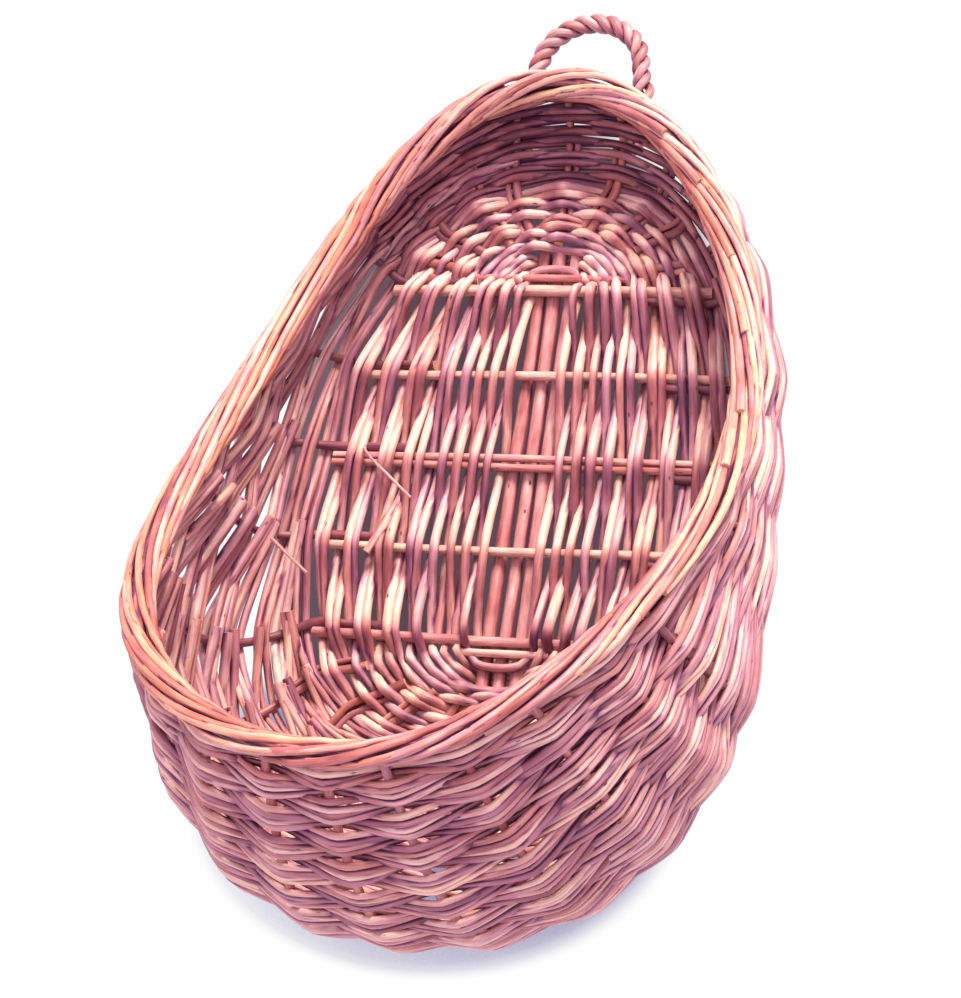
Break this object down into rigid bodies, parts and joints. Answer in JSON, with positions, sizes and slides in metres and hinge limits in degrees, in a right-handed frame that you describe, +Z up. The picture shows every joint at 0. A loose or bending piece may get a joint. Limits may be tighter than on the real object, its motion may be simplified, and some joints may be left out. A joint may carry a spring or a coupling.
{
  "type": "wall basket",
  "caption": "Deep woven willow wall basket with a flat oval back, a bulging foot pocket, a rolled border and a twisted hanging loop.",
  "frame": {"origin": "on the wall plane, under the crown of the hanging loop, where a nail or hook carries the basket", "axes": "+Z up the wall, +Y into the wall, +X to the right for a person who faces the basket"},
  "size_m": [0.2816, 0.2122, 0.5007],
  "materials": {
    "willow_sticks": "smooth bark, satin",
    "willow_stakes": "smooth bark, satin",
    "willow_base_weave": "smooth bark, satin",
    "willow_side_weave": "smooth bark, satin",
    "willow_border": "smooth bark, satin",
    "willow_loop": "smooth bark, satin"
  },
  "bodies": {
    "root": {"long_stick_1": "willow_sticks", "long_stick_2": "willow_sticks", "long_stick_3": "willow_sticks", "cross_stick_1": "willow_sticks", "cross_stick_2": "willow_sticks", "cross_stick_3_upper": "willow_sticks", "cross_stick_3_lower": "willow_sticks", "cross_stick_4": "willow_sticks", "cross_stick_5": "willow_sticks", "base_round_1": "willow_base_weave", "base_round_2": "willow_base_weave", "base_round_3": "willow_base_weave", "base_round_4": "willow_base_weave", "base_round_5": "willow_base_weave", "base_round_6": "willow_base_weave", "right_stake_5": "willow_stakes", "right_stake_4": "willow_stakes", "right_stake_3": "willow_stakes", "right_stake_2": "willow_stakes", "right_stake_1": "willow_stakes", "head_stake_1": "willow_stakes", "head_stake_2": "willow_stakes", "head_stake_3": "willow_stakes", "head_stake_4": "willow_stakes", "head_stake_5": "willow_stakes", "head_stake_6": "willow_stakes", "head_stake_7": "willow_stakes", "head_stake_8": "willow_stakes", "head_stake_9": "willow_stakes", "left_stake_1": "willow_stakes", "left_stake_2": "willow_stakes", "left_stake_3": "willow_stakes", "left_stake_4": "willow_stakes", "left_stake_5": "willow_stakes", "foot_stake_1": "willow_stakes", "foot_stake_2": "willow_stakes", "foot_stake_3": "willow_stakes", "foot_stake_4": "willow_stakes", "foot_stake_5": "willow_stakes", "foot_stake_6": "willow_stakes", "foot_stake_7": "willow_stakes", "foot_stake_8": "willow_stakes", "foot_stake_9": "willow_stakes", "side_round_1": "willow_side_weave", "side_round_2": "willow_side_weave", "side_round_3": "willow_side_weave", "side_round_4": "willow_side_weave", "side_round_5": "willow_side_weave", "side_round_6": "willow_side_weave", "side_round_7": "willow_side_weave", "side_round_8": "willow_side_weave", "side_round_9": "willow_side_weave", "side_round_10": "willow_side_weave", "side_round_11": "willow_side_weave", "side_round_12": "willow_side_weave", "rolled_border": "willow_border", "loop_strand_1": "willow_loop", "loop_strand_2": "willow_loop"}
  },
  "joints": []
}
